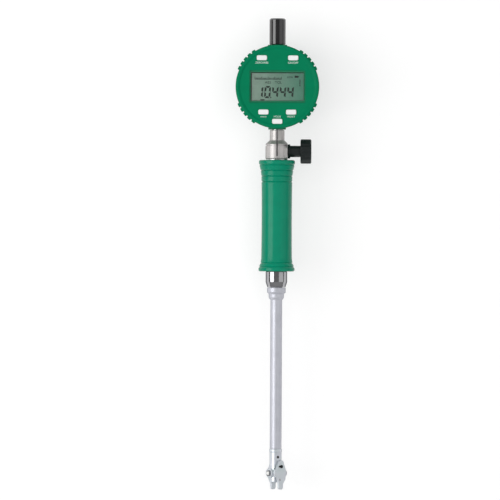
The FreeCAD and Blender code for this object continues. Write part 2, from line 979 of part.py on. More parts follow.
# Handle
def grip():
    """The moulded grip, with flared ends and turned rings."""
    bore = core_radius + seat_gap
    top_land = grip_top - flare_land
    waist_top = top_land - flare_length + flare_land
    low_land = grip_end + flare_land
    waist_low = low_land + lower_flare_length - flare_land
    waist_mid = (waist_top + waist_low) / 2
    edge_radius = waist_radius + waist_swell
    bend = vec(edge_radius + (flare_radius - edge_radius) * flare_bend_out, 0, 0)
    top_bend = bend + vec(0, top_land * flare_bend_up + waist_top * (1 - flare_bend_up), 0)
    low_bend = bend + vec(0, low_land * flare_bend_up + waist_low * (1 - flare_bend_up), 0)
    steps = [
        vec(bore, grip_top, 0),
        vec(flare_radius - grip_edge, grip_top, 0),
        vec(flare_radius, grip_top - grip_edge, 0),
        vec(flare_radius, top_land, 0),
        (top_bend, vec(edge_radius, waist_top, 0)),
        (vec(waist_radius, waist_mid, 0), vec(edge_radius, waist_low, 0)),
        (low_bend, vec(flare_radius, low_land, 0)),
        vec(flare_radius, grip_end + grip_edge, 0),
        vec(flare_radius - grip_edge, grip_end, 0),
        vec(bore, grip_end, 0),
    ]
    body = turned(steps, along_y)
    heights = [grip_top - ring_start - number * ring_pitch for number in range(ring_count)]
    low_start = grip_end + lower_ring_start
    heights += [low_start + number * lower_ring_pitch for number in range(lower_ring_count)]
    for y in heights:
        body = body.cut(ring_groove(body, y))
    return body


def ring_groove(body, y):
    """A V groove round the grip, as deep below the local surface all round."""
    reach = 2 * flare_radius
    wall = Part.makeLine(vec(0, y, 0), vec(reach, y, 0)).common(body)
    level = core_radius + seat_gap + wall.Length
    wide = ring_half * (1 + (reach - level) / ring_depth)
    return turned_y([
        (level - ring_depth, y),
        (reach, y + wide),
        (reach, y - wide),
    ])


def handle_core():
    return turned_y([
        (core_bore, core_top),
        (core_radius, core_top),
        (core_radius, grip_end),
        (core_bore, grip_end),
        (core_bore, core_end),
        (tube_fit, core_end),
        (tube_fit, socket_top),
        (core_bore, socket_top),
    ])


def handle_collar():
    fit = core_bore + seat_gap
    return turned_y([
        (fit, collar_start),
        (collar_radius - collar_edge, collar_start),
        (collar_radius, collar_start - collar_edge),
        (collar_radius, collar_start - collar_cylinder),
        (collar_end_radius, collar_end),
        (tube_fit, collar_end),
        (tube_fit, core_end - hand_gap),
        (fit, core_end - hand_gap),
    ])


def nose_ring():
    low = nose_start - nose_length
    shoulder = nose_start - nose_cylinder
    step_top = low + nose_end + nose_step
    round_x = nose_radius - nose_round * (1 - math.sqrt(0.5))
    round_y = shoulder - nose_round * math.sqrt(0.5)
    steps = [
        vec(tube_fit, nose_start, 0),
        vec(nose_radius - collar_edge, nose_start, 0),
        vec(nose_radius, nose_start - collar_edge, 0),
        vec(nose_radius, shoulder, 0),
        (vec(round_x, round_y, 0), vec(nose_radius - nose_round, shoulder - nose_round, 0)),
        vec(nose_step_radius, step_top, 0),
        vec(nose_step_radius, low + nose_end, 0),
        vec(nose_end_radius, low, 0),
        vec(tube_fit, low, 0),
    ]
    return turned(steps, along_y)


def gauge_tube():
    return rod_y(tube_radius, tube_end, tube_top).cut(rod_y(tube_bore, tube_end, tube_top))


# Push rod and its guides
def push_rod():
    return turned_y([
        (0, rod_top),
        (rod_cap_radius - rod_cap_edge, rod_top),
        (rod_cap_radius, rod_top - rod_cap_edge),
        (rod_cap_radius, rod_top - rod_cap),
        (rod_radius, rod_top - rod_cap),
        (rod_radius, rod_foot_start),
        (rod_foot_radius, rod_foot_start - rod_foot_taper),
        (rod_foot_radius, rod_foot),
        (0, rod_foot),
    ])


def rod_spring_seat():
    low = rod_seat_y - rod_seat
    return rod_y(rod_seat_radius, low, rod_seat_y).cut(rod_y(rod_radius + seat_gap, low, rod_seat_y))


def rod_spring():
    return coil(rod_spring_radius, rod_spring_wire, rod_spring_turns, rod_seat_y, spigot_end)


def rod_guide(radius, y0):
    return rod_y(radius, y0, y0 + guide_length).cut(rod_y(rod_bore, y0, y0 + guide_length))


def rod_guide_upper():
    return rod_guide(core_bore - seat_gap, socket_top)


def rod_guides():
    fit = tube_bore - seat_gap
    return compound([rod_guide(fit, middle_guide_y), rod_guide(fit, lower_guide_y)])


# Measuring head
def head_body():
    low = anvil_y - head_below_axis
    collar_low = tube_end - head_collar
    foot_bore = rod_foot_radius + running
    stem_part = turned_y([
        (0, low),
        (head_radius - head_chamfer, low),
        (head_radius, low + head_chamfer),
        (head_radius, collar_low),
        (head_collar_radius - head_chamfer, collar_low),
        (head_collar_radius, collar_low + head_chamfer),
        (head_collar_radius, tube_end - seat_gap - head_chamfer),
        (head_collar_radius - head_chamfer, tube_end - seat_gap),
        (tube_bore - seat_gap, tube_end - seat_gap),
        (tube_bore - seat_gap, tube_end + head_spigot),
        (0, tube_end + head_spigot),
    ])
    wide = 2 * head_radius
    for side in (-1, 1):
        z0, z1 = sorted((side * head_flat, side * wide))
        stem_part = stem_part.cut(block(-wide, wide, low, head_flat_top, z0, z1))
    barrel = rod_x(barrel_radius, -barrel_front, nut_start, anvil_y)
    front = [edge for edge in barrel.Edges if edge.BoundBox.XMax < -barrel_front + barrel_edge]
    barrel = barrel.makeChamfer(barrel_edge, front)
    body = stem_part.fuse(barrel)
    body = body.fuse(rod_x(nut_thread, nut_start, barrel_back, anvil_y))
    body = body.cut(rod_y(foot_bore, rod_foot - hand_gap, tube_end + head_spigot))
    body = body.cut(rod_x(plunger_bore, -barrel_front, plunger_back + rod_travel + hand_gap, anvil_y))
    thread_end = reference_thread_start - hand_gap
    body = body.cut(rod_x(reference_thread + running, thread_end, barrel_back, anvil_y))
    body = body.cut(crank_room_shape())
    body = body.cut(pin_hole())
    body = body.cut(rod_y(key_radius, anvil_y - barrel_radius, anvil_y, key_x))
    slot_end = yoke_bar_half + yoke_travel + yoke_slot_room
    slot_half = yoke_bar_half + yoke_slot_room
    slot_low = yoke_bar_y - slot_half
    slot_high = yoke_bar_y + slot_half
    body = body.cut(block(-slot_half, slot_end, slot_low, slot_high, -wide, wide))
    body = body.cut(rod_x(yoke_bore, slot_end, wide, yoke_bar_y))
    body = body.cut(rod_z(set_screw_radius, head_flat - set_screw_depth, wide, 0, set_screw_y))
    for side in (-1, 1):
        z0, z1 = sorted((side * guide_screw_tip, side * wide))
        body = body.cut(rod_z(guide_screw_radius, z0, z1, guide_screw_x, guide_screw_y))
    return in_head(body)


def crank_room_shape():
    """The slot that the bell crank swings in."""
    half = crank_half + crank_room
    left = crank_x - crank_hub - crank_room
    right = crank_nose + crank_room
    top = crank_y + rod_travel + crank_nose + 2 * crank_room
    upper = block(left, right, crank_y - crank_hub - crank_room, top, -half, half)
    lower_left = crank_x - crank_nose - crank_room
    lower_right = crank_x + rod_travel + crank_nose + crank_room
    low = anvil_y - crank_nose - 2 * crank_room
    return upper.fuse(block(lower_left, lower_right, low, crank_y, -half, half))


def pin_hole():
    return rod_z(crank_pin_radius, -head_radius, head_radius, crank_x, crank_y)


def crank_pin():
    return in_head(rod_z(crank_pin_radius, -crank_pin_half, crank_pin_half, crank_x, crank_y))


def bell_crank():
    """Turns the anvil's stroke into the push rod's, one to one."""
    half = crank_half
    side = crank_bar / 2
    crank = rod_z(crank_hub, -half, half, crank_x, crank_y)
    crank = crank.fuse(rod_z(crank_nose, -half, half, crank_x, anvil_y))
    crank = crank.fuse(rod_z(crank_nose, -half, half, 0, crank_y))
    crank = crank.fuse(block(crank_x - side, crank_x + side, anvil_y, crank_y, -half, half))
    crank = crank.fuse(block(crank_x, 0, crank_y - side, crank_y + side, -half, half))
    crank = crank.cut(rod_z(crank_pin_radius + seat_gap, -half, half, crank_x, crank_y))
    return in_head(crank.removeSplitter())


def ball_seat(body, centre_x, end_x, side):
    """Cut the seat of a ceramic ball and the ring round it into the end of a bar."""
    body = body.cut(Part.makeSphere(ball_radius, vec(centre_x, anvil_y, 0)))
    start = end_x - ball_groove_depth if side > 0 else end_x
    outer = rod_x(ball_radius + ball_groove, start, start + ball_groove_depth, anvil_y)
    return body.cut(outer)


def ball(centre_x):
    return in_head(Part.makeSphere(ball_radius, vec(centre_x, anvil_y, 0)))


def anvil_plunger():
    """The sliding contact, stepped at its back so that the crank's arm can swing."""
    bar = rod_x(plunger_radius, -plunger_front, plunger_back, anvil_y)
    step_start = plunger_back - plunger_step_length
    step_low = anvil_y + plunger_step
    top = anvil_y + 2 * plunger_radius
    bar = bar.cut(block(step_start, plunger_back, step_low, top, -plunger_radius, plunger_radius))
    bar = ball_seat(bar, -ball_front, -plunger_front, -1)
    left = key_x - key_radius - contact_gap - rod_travel
    right = key_x + key_radius + contact_gap
    half = key_radius + contact_gap
    low = anvil_y - plunger_radius
    bar = bar.cut(block(left, right, 2 * low - anvil_y, low + key_depth, -half, half))
    return in_head(bar)


def anvil_key_screw():
    low = anvil_y - barrel_radius + key_sink
    high = anvil_y - plunger_radius + key_depth - contact_gap
    return in_head(rod_y(key_radius, low, high, key_x))


def reference_anvil():
    bar = rod_x(reference_thread, reference_thread_start, reference_shoulder, anvil_y)
    bar = bar.fuse(rod_x(reference_flange, reference_shoulder, nut_inside, anvil_y))
    bar = bar.fuse(rod_x(plunger_radius, nut_inside, reference_front, anvil_y))
    return in_head(ball_seat(bar, reference_ball, reference_front, 1))


def reference_spacer():
    ring = rod_x(reference_flange, barrel_back, reference_shoulder, anvil_y)
    return in_head(ring.cut(rod_x(reference_thread, barrel_back, reference_shoulder, anvil_y)))


def reference_nut():
    nut = rod_x(nut_radius, nut_start + seat_gap, nut_end, anvil_y)
    rims = [edge for edge in nut.Edges if edge.BoundBox.XMin > nut_end - barrel_edge]
    nut = nut.makeChamfer(barrel_edge, rims)
    nut = nut.cut(rod_x(nut_thread + seat_gap, nut_start, nut_inside + seat_gap, anvil_y))
    nut = nut.cut(rod_x(plunger_radius + seat_gap, nut_start, nut_end, anvil_y))
    for number in range(nut_flutes):
        angle = 2 * math.pi * number / nut_flutes
        y = anvil_y + nut_radius * math.cos(angle)
        z = nut_radius * math.sin(angle)
        nut = nut.cut(rod_x(nut_flute_radius, nut_start, nut_end, y, z))
    return in_head(nut)


def socket(radius, depth, place, direction):
    """A socket for a hexagon key, as the prism that cuts it."""
    corners = []
    for number in range(socket_sides + 1):
        angle = 2 * math.pi * number / socket_sides
        corners.append(vec(radius * math.cos(angle), radius * math.sin(angle), 0))
    solid = Part.Face(Part.makePolygon(corners)).extrude(vec(0, 0, depth))
    solid.Placement = FreeCAD.Placement(place, FreeCAD.Rotation(along_z, direction))
    return solid


def head_set_screw():
    screw = rod_z(set_screw_radius, head_flat - set_screw_depth, head_flat, 0, set_screw_y)
    top = vec(0, set_screw_y, head_flat)
    key = socket(set_screw_radius * socket_share, set_screw_depth / 2, top, vec(0, 0, -1))
    return in_head(screw.cut(key))


# Centring yoke: two cheeks on a cross bar, pushed out by a spring
def cheek(side):
    nose = math.radians(cheek_nose_angle)
    nose_rise = cheek_nose_radius * math.sin(nose)
    nose_back = cheek_nose_x - cheek_nose_radius * math.cos(nose)
    arm_y = anvil_y + cheek_top - cheek_top_half
    prong_round = (prong_right - prong_left) / 2
    prong_y = anvil_y - cheek_low + prong_round
    steps = [
        vec(nose_back, anvil_y + nose_rise, 0),
        (vec(cheek_nose_x - cheek_nose_radius, anvil_y, 0), vec(nose_back, anvil_y - nose_rise, 0)),
        vec(prong_left, anvil_y - prong_root, 0),
        vec(prong_left, prong_y, 0),
        (vec(prong_left + prong_round, anvil_y - cheek_low, 0), vec(prong_right, prong_y, 0)),
        vec(prong_right, anvil_y - prong_root, 0),
        vec(cheek_back, anvil_y - cheek_back_low, 0),
        vec(cheek_back, anvil_y + cheek_back_top, 0),
        vec(cheek_top_x + cheek_top_half, arm_y, 0),
        (vec(cheek_top_x, anvil_y + cheek_top, 0), vec(cheek_top_x - cheek_top_half, arm_y, 0)),
    ]
    plate = Part.Face(outline(steps)).extrude(vec(0, 0, cheek_thickness))
    curved = []
    for edge in plate.Edges:
        centre = edge.CenterOfMass
        on_nose = abs(centre.y - anvil_y) < cheek_edge and centre.x < cheek_nose_x
        if on_nose and isinstance(edge.Curve, Part.Circle):
            curved.append(edge)
    plate = plate.makeFillet(cheek_edge, curved)
    slot_half = guide_screw_radius + guide_screw_gap
    slot = block(guide_screw_x - yoke_travel, guide_screw_x,
                 guide_screw_y - slot_half, guide_screw_y + slot_half, 0, cheek_thickness)
    for x in (guide_screw_x - yoke_travel, guide_screw_x):
        slot = slot.fuse(rod_z(slot_half, 0, cheek_thickness, x, guide_screw_y))
    plate = plate.cut(slot)
    half = yoke_bar_half
    plate = plate.cut(block(-half, half, yoke_bar_y - half, yoke_bar_y + half, 0, cheek_thickness))
    plate.translate(vec(0, 0, cheek_inner))
    if side < 0:
        plate = plate.mirror(origin, along_z)
    return in_head(plate)


def yoke_bar():
    half = yoke_bar_half
    return in_head(block(-half, half, yoke_bar_y - half, yoke_bar_y + half, -cheek_outer, cheek_outer))


def yoke_spring():
    spring = coil(yoke_spring_radius, yoke_spring_wire, yoke_spring_turns,
                  yoke_bar_half, yoke_plug_end - yoke_plug)
    spring.rotate(origin, along_z, -90)
    spring.translate(vec(0, yoke_bar_y, 0))
    return in_head(spring)


def yoke_plug_screw():
    plug = rod_x(yoke_bore - seat_gap, yoke_plug_end - yoke_plug, yoke_plug_end, yoke_bar_y)
    face = vec(yoke_plug_end, yoke_bar_y, 0)
    key = socket(yoke_bore * socket_share, yoke_plug / 2, face, vec(-1, 0, 0))
    return in_head(plug.cut(key))


def yoke_guide_screws():
    """The two shoulder screws that the cheeks slide on."""
    screws = []
    head_back = cheek_outer + guide_screw_gap
    for side in (-1, 1):
        z0, z1 = sorted((side * guide_screw_tip, side * head_back))
        shank = rod_z(guide_screw_radius, z0, z1, guide_screw_x, guide_screw_y)
        z0, z1 = sorted((side * head_back, side * (head_back + guide_screw_head_height)))
        head = rod_z(guide_screw_head, z0, z1, guide_screw_x, guide_screw_y)
        screws.append(in_head(shank.fuse(head)))
    return compound(screws)


keep("case_body", case_body())
keep("friction_ring", friction_ring())
keep("rear_cover", rear_cover())
keep("cover_screws", cover_screws())
keep("battery_cover", battery_cover())
keep("battery", battery())
keep("battery_contact", battery_contact())
keep("reader_board", reader_board())
keep("reader_screws", reader_screws())
keep("face_housing", face_housing())
keep("window", window())
keep("display_module", display_module())
keep("circuit_board", circuit_board())
keep("board_screws", board_screws())
keep("keypad", keypad())
for name, place in button_places().items():
    keep(name, button(*place))
keep("stem", stem())
keep("stem_bushes", stem_bushes())
keep("cap_bush", cap_bush())
keep("spindle", spindle())
keep("contact_point", contact_point())
keep("scale_carrier", scale_carrier())
keep("scale_strip", scale_strip())
keep("spindle_spring", spindle_spring())
keep("spindle_cap", spindle_cap())
keep("clamp_body", clamp_body())
keep("clamp_pad", clamp_pad())
keep("clamp_screw", clamp_screw())
keep("clamp_knob", clamp_knob())
keep("grip", grip())
keep("handle_core", handle_core())
keep("handle_collar", handle_collar())
keep("nose_ring", nose_ring())
keep("gauge_tube", gauge_tube())
keep("push_rod", push_rod())
keep("rod_spring_seat", rod_spring_seat())
keep("rod_spring", rod_spring())
keep("rod_guide_upper", rod_guide_upper())
keep("rod_guides", rod_guides())
keep("head_body", head_body())
keep("bell_crank", bell_crank())
keep("crank_pin", crank_pin())
keep("anvil_plunger", anvil_plunger())
keep("anvil_ball", ball(-ball_front))
keep("anvil_key_screw", anvil_key_screw())
keep("reference_anvil", reference_anvil())
keep("reference_ball", ball(reference_ball))
keep("reference_spacer", reference_spacer())
keep("reference_nut", reference_nut())
keep("head_set_screw", head_set_screw())
keep("yoke_cheek_near", cheek(1))
keep("yoke_cheek_far", cheek(-1))
keep("yoke_bar", yoke_bar())
keep("yoke_spring", yoke_spring())
keep("yoke_plug_screw", yoke_plug_screw())
keep("yoke_guide_screws", yoke_guide_screws())
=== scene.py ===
import json
import math

import bmesh
import bpy
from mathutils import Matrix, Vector


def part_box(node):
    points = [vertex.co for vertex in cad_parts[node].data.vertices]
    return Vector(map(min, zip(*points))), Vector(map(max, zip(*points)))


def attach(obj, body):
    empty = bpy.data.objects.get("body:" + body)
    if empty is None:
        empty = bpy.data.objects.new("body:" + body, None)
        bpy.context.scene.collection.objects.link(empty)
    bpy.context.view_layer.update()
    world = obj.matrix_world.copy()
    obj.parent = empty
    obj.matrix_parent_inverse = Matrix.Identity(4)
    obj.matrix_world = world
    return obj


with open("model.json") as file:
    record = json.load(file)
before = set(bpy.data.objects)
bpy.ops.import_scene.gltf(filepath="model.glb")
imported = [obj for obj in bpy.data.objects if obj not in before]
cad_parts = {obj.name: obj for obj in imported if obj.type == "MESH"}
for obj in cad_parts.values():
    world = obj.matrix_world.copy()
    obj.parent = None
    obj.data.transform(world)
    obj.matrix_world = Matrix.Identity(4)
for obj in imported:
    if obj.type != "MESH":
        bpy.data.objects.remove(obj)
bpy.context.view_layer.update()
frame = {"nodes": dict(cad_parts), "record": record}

nodes = frame["nodes"]

# The gauge was drawn round the centre of its display. These move such a point, in millimetres, to the frame.
CENTRE_Y = 120.75
AXIS_Z = 13.1


def place(x, y, z):
    """A point given in millimetres from the display's centre on the long axis."""
    return Vector((x, y + CENTRE_Y, z + AXIS_Z)) / 1000


# Materials. Lengths in them are in metres; a grain's scale is in cells a metre.
EDGE_RADIUS = 0.0002
EDGE_SAMPLES = 4
GRAIN_DEPTH = 0.00002
COAT_ROUGHNESS = 0.12

# A grain makes a finish this much smoother and rougher in its spots.
SMOOTHEST = 0.8
ROUGHEST = 1.25

# A seed moves the noise by this much of itself in the three directions.
SEED_STEPS = (1, 1.7, -1)


def new_material(name):
    """A material with its node tree and its shader."""
    material = bpy.data.materials.new(name)
    material.use_nodes = True
    tree = material.node_tree
    shader = tree.nodes["Principled BSDF"]
    return material, tree, shader


def noise(tree, coords, scale, detail=3.0, stretch=(1, 1, 1), seed=0.0):
    """A noise value in object space; stretch scales the three directions."""
    mapping = tree.nodes.new("ShaderNodeMapping")
    mapping.inputs["Scale"].default_value = stretch
    mapping.inputs["Location"].default_value = [seed * step for step in SEED_STEPS]
    texture = tree.nodes.new("ShaderNodeTexNoise")
    texture.inputs["Scale"].default_value = scale
    texture.inputs["Detail"].default_value = detail
    tree.links.new(coords, mapping.inputs["Vector"])
    tree.links.new(mapping.outputs["Vector"], texture.inputs["Vector"])
    return texture.outputs["Fac"]


def spread(tree, value, low, high, near=0.3, far=0.7):
    """The value spread from near..far to low..high."""
    node = tree.nodes.new("ShaderNodeMapRange")
    node.inputs["From Min"].default_value = near
    node.inputs["From Max"].default_value = far
    node.inputs["To Min"].default_value = low
    node.inputs["To Max"].default_value = high
    tree.links.new(value, node.inputs["Value"])
    return node.outputs["Result"]


def two_colours(tree, value, first, second):
    """A colour between two, by a value from 0 to 1."""
    node = tree.nodes.new("ShaderNodeMix")
    node.data_type = "RGBA"
    node.inputs["A"].default_value = (*first, 1)
    node.inputs["B"].default_value = (*second, 1)
    tree.links.new(value, node.inputs["Factor"])
    return node.outputs["Result"]


def relief(tree, value, strength):
    """A fine bump over slightly rounded edges."""
    rounding = tree.nodes.new("ShaderNodeBevel")
    rounding.samples = EDGE_SAMPLES
    rounding.inputs["Radius"].default_value = EDGE_RADIUS
    node = tree.nodes.new("ShaderNodeBump")
    node.inputs["Strength"].default_value = strength
    node.inputs["Distance"].default_value = GRAIN_DEPTH
    tree.links.new(rounding.outputs["Normal"], node.inputs["Normal"])
    tree.links.new(value, node.inputs["Height"])
    return node.outputs["Normal"]


def surface(name, colour, tint, rough, metallic=0.0, fine=2600.0, broad=120.0, strength=0.2,
            stretch=(1, 1, 1), gloss=0.5, rim=1.0, coat=0.0):
    """A finish with a broad tint and a fine grain in gloss and relief; rim is a metal's tint at its edge."""
    material, tree, shader = new_material(name)
    coords = tree.nodes.new("ShaderNodeTexCoord").outputs["Object"]
    slow = noise(tree, coords, broad, seed=1.3)
    quick = noise(tree, coords, fine, detail=4.0, stretch=stretch, seed=4.1)
    tree.links.new(two_colours(tree, spread(tree, slow, 0, 1), colour, tint), shader.inputs["Base Color"])
    tree.links.new(spread(tree, quick, rough * SMOOTHEST, rough * ROUGHEST), shader.inputs["Roughness"])
    tree.links.new(relief(tree, quick, strength), shader.inputs["Normal"])
    shader.inputs["Metallic"].default_value = metallic
    shader.inputs["Specular IOR Level"].default_value = gloss
    shader.inputs["Specular Tint"].default_value = (rim, rim, rim, 1)
    shader.inputs["Coat Weight"].default_value = coat
    shader.inputs["Coat Roughness"].default_value = COAT_ROUGHNESS
    return material


# The window's smears change its roughness and how much it hides.
SMEAR_SCALE = 90.0
WINDOW_COLOUR = (0.3, 0.36, 0.33)
WINDOW_ROUGHNESS = (0.04, 0.1)
WINDOW_ALPHA = (0.03, 0.06)


def window_finish():
    """Clear plastic with faint smears."""
    material, tree, shader = new_material("clear_window")
    coords = tree.nodes.new("ShaderNodeTexCoord").outputs["Object"]
    smear = noise(tree, coords, SMEAR_SCALE, stretch=(1, 3, 1), seed=2.2)
    tree.links.new(spread(tree, smear, *WINDOW_ROUGHNESS), shader.inputs["Roughness"])
    tree.links.new(spread(tree, smear, *WINDOW_ALPHA), shader.inputs["Alpha"])
    shader.inputs["Base Color"].default_value = (*WINDOW_COLOUR, 1)
    return material


# The display's ground runs from its left colour to its right one within this half width; the lighter left is
# a painted reflection.
GROUND_REACH = 0.019
GROUND_LEFT_WITH_PAINTED_REFLECTION = (0.25, 0.34, 0.28)
GROUND_RIGHT = (0.07, 0.22, 0.15)
GROUND_CLOUD = (0.84, 0.87, 0.85)
CLOUD_SCALE = 220.0


def display_finish():
    """The grey-green ground of the display, lighter to the left as a painted reflection, and a little
    cloudy.
    """
    material, tree, shader = new_material("display_ground_with_painted_reflection")
    coords = tree.nodes.new("ShaderNodeTexCoord").outputs["Object"]
    axes = tree.nodes.new("ShaderNodeSeparateXYZ")
    tree.links.new(coords, axes.inputs["Vector"])
    # Painted reflection: the ground grows lighter towards the left.
    side = spread(tree, axes.outputs["X"], 0, 1, -GROUND_REACH, GROUND_REACH)
    ground_with_painted_reflection = two_colours(tree, side, GROUND_LEFT_WITH_PAINTED_REFLECTION, GROUND_RIGHT)
    cloud = noise(tree, coords, CLOUD_SCALE, seed=3.0)
    mix = tree.nodes.new("ShaderNodeMix")
    mix.data_type = "RGBA"
    mix.blend_type = "MULTIPLY"
    mix.inputs["B"].default_value = (*GROUND_CLOUD, 1)
    tree.links.new(spread(tree, cloud, 0, 1), mix.inputs["Factor"])
    tree.links.new(ground_with_painted_reflection, mix.inputs["A"])
    tree.links.new(mix.outputs["Result"], shader.inputs["Base Color"])
    shader.inputs["Roughness"].default_value = 0.5
    shader.inputs["Specular IOR Level"].default_value = 0.2
    return material


# A turned piece has its grain round the long axis, a drawn tube along it.
ROUND_AXIS = (0.02, 1, 0.02)
ALONG = (1, 0.03, 1)

# Each finish has two colours and a roughness; a metal also says how metallic it is and how fine its grain.
finishes = {
    "green_plastic": surface("green_face", (0, 0.205, 0.092), (0, 0.188, 0.084), 0.45, gloss=0.06),
    "grip_plastic": surface("green_grip", (0, 0.26, 0.148), (0, 0.24, 0.137), 0.2, strength=0.12, gloss=0.2),
    "case_plastic": surface("green_case", (0, 0.19, 0.085), (0, 0.17, 0.076), 0.5, strength=0.4, gloss=0.3),
    "black_plastic": surface("black_gloss", (0.003, 0.003, 0.004), (0.006, 0.005, 0.006), 0.14,
                             strength=0.05, gloss=0.9, coat=0.3),
    "knob_plastic": surface("black_satin", (0.006, 0.01, 0.01), (0.01, 0.014, 0.014), 0.34, gloss=0.45),
    "white_plastic": surface("white_key", (0.84, 0.85, 0.85), (0.89, 0.9, 0.89), 0.38),
    "board": surface("board_green", (0.01, 0.1, 0.05), (0.015, 0.14, 0.07), 0.4),
    "rubber": surface("rubber_black", (0.02, 0.02, 0.02), (0.035, 0.035, 0.035), 0.7),
    "steel": surface("ground_steel", (0.4, 0.4, 0.42), (0.5, 0.5, 0.51), 0.2, 1.0, 5000,
                     stretch=ROUND_AXIS, rim=0.2),
    "tube_steel": surface("satin_tube", (0.61, 0.62, 0.68), (0.67, 0.68, 0.74), 0.44, 0.58, 4000,
                          stretch=ALONG, rim=0.0),
    "head_steel": surface("head_plate", (0.7, 0.77, 0.79), (0.78, 0.79, 0.86), 0.38, 0.66, 5000,
                          strength=0.06, rim=0.1),
    "bright_metal": surface("bright_plate", (0.4, 0.4, 0.42), (0.48, 0.48, 0.49), 0.1, 1.0, 4000,
                            strength=0.1, stretch=ROUND_AXIS, rim=0.0),
    "block_metal": surface("block_plate", (0.57, 0.55, 0.54), (0.67, 0.64, 0.63), 0.42, 0.7, 4000,
                           strength=0.08, rim=0.1),
    "brass": surface("turned_brass", (0.7, 0.5, 0.2), (0.76, 0.56, 0.25), 0.25, 1.0, 4000),
    "light_metal": surface("turned_light_metal", (0.6, 0.6, 0.61), (0.68, 0.68, 0.69), 0.3, 1.0, 4000),
    "dark_screw": surface("dark_screw", (0.03, 0.03, 0.032), (0.06, 0.06, 0.062), 0.35, 0.8, 4000),
    "ceramic": surface("ceramic_white", (0.82, 0.83, 0.81), (0.88, 0.88, 0.86), 0.12,
                       broad=600, strength=0.05),
    # The ink also draws the painted shadow of the window's recess on the display.
    "ink": surface("display_ink_and_painted_shadow", (0.006, 0.01, 0.008), (0.014, 0.02, 0.016), 0.6, broad=900, gloss=0.1),
    "print": surface("white_print", (0.7, 0.8, 0.75), (0.8, 0.88, 0.84), 0.5, broad=900),
    "window_plastic": window_finish(),
    "display_glass": display_finish(),
}

# These pieces have another finish than the rest of their material.
own_finish = {"grip": "grip_plastic", "clamp_knob": "knob_plastic", "clamp_body": "block_metal",
              "cap_bush": "dark_screw", "nose_ring": "tube_steel"}

for part in frame["record"]["subparts"]:
    piece = nodes[part["node"]]
    for slot in piece.material_slots:
        slot.material = finishes[own_finish.get(part["node"], part["material_slot"])]


# Pieces
def add(name, body, finish, shape):
    """A new piece that rides on a body."""
    mesh = bpy.data.meshes.new(name)
    bmesh.ops.recalc_face_normals(shape, faces=shape.faces)
    shape.to_mesh(mesh)
    shape.free()
    piece = bpy.data.objects.new(name, mesh)
    bpy.context.scene.collection.objects.link(piece)
    piece.data.materials.append(finishes[finish])
    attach(piece, body)


def add_plate(shape, outline, low, high):
    """Add a thin plate with these corners, in millimetres."""
    low_ring = [shape.verts.new(place(x, y, low)) for x, y in outline]
    high_ring = [shape.verts.new(place(x, y, high)) for x, y in outline]
    shape.faces.new(low_ring)
    shape.faces.new(high_ring)
    for index in range(len(outline)):
        before = index - 1
        shape.faces.new((low_ring[before], low_ring[index], high_ring[index], high_ring[before]))


# The height of a capital letter as a share of the font size, and half a word's depth before it is scaled
CAPITAL = 0.72
HALF_DEPTH = 0.5


def add_word(shape, text, x, y, height, low, high):
    """Add a word, centred on x with its foot at y, in millimetres."""
    curve = bpy.data.curves.new("word", "FONT")
    curve.body = text
    curve.align_x = "CENTER"
    curve.extrude = HALF_DEPTH
    holder = bpy.data.objects.new("word", curve)
    bpy.context.scene.collection.objects.link(holder)
    bpy.context.view_layer.update()
    mesh = bpy.data.meshes.new_from_object(holder)
    scale = height / CAPITAL
    for vertex in mesh.vertices:
        point = vertex.co
        level = low + (point.z + HALF_DEPTH) * (high - low)
        vertex.co = place(x + point.x * scale, y + point.y * scale, level)
    shape.from_mesh(mesh)
    bpy.data.objects.remove(holder)
    bpy.data.curves.remove(curve)
    bpy.data.meshes.remove(mesh)


def box_outline(x, y, width, height):
    """The corners of a box from its lower left one."""
    return [(x, y), (x + width, y), (x + width, y + height), (x, y + height)]


# The reading, in millimetres like all that follows
LIT_BARS = {"0": "abcdef", "1": "bc", "4": "fgbc"}
READING = "10444"
WHOLE_DIGITS = 2
DIGIT_LEFT = -15.28
DIGIT_FOOT = -8.3
DIGIT_WIDTH = 4.6
DIGIT_HEIGHT = 8.7
DIGIT_PITCH = 5.5
DIGIT_BAR = 1.35
DIGIT_LEAN = 0.08
BAR_GAP = 0.12
POINT_SIZE = 0.85

# The bar scale over the reading
SCALE_LEFT = -16.4
SCALE_FOOT = 5.1
SCALE_LINE = 0.45
SCALE_TICKS = 21
SCALE_PITCH = 0.95
TICK_WIDTH = 0.4
TICK_HEIGHT = 0.9
TICK_TALL = 1.5
TICK_FOOT = 0.5
TALL_EVERY = 5

# Signs, each as the left, foot, width and height of a box: the battery with its tip, the level, the low mark
SIGNS = (
    (12.4, 6.4, 2.6, 1.5), (15.1, 6.8, 0.4, 0.7), (15.9, 0.3, 0.7, 1.0), (15.9, 1.6, 0.7, 1.0),
    (15.9, 2.9, 0.7, 1.0), (15.9, 4.2, 0.7, 1.0), (-12.2, -9.95, 3.0, 0.8),
)
SIGN_WORDS = (("ABS", -6.8, 2.1), ("TOL", 0.7, 2.1), ("mm", 9.0, 6.1))
SIGN_WORD_HEIGHT = 1.9

# The window's half size, how far the cell's dark border reaches under its rim, and how far it reaches into
# the window on each side; it is wider at the top and left as a painted shadow of the window's recess.
SIGHT_X = 19.3
SIGHT_Y = 10.3
LAP = 0.4
BORDER_AND_SHADOW_LEFT = 0.8
BORDER_AND_SHADOW_RIGHT = 0.3
BORDER_AND_SHADOW_TOP = 0.65
BORDER_AND_SHADOW_BOTTOM = 0.2

# The ink stands over the display by a hair and has a thickness, and so has the print over the face.
INK_LIFT = 0.01
INK_THICKNESS = 0.04
PRINT_LIFT = 0.005
PRINT_THICKNESS = 0.035

# The face lies this much under the top of the display housing.
FACE_SINK = 0.8

# Words by the keys: text, centre, foot and height
KEY_WORDS = (
    ("ZERO/ABS", -11.3, 16.5, 1.5), ("ON/OFF", 11.3, 16.5, 1.5),
    ("mm/in", -10.0, -22.3, 1.3), ("MODE", 0.0, -22.3, 1.3), ("PRESET", 10.0, -22.3, 1.3),
)


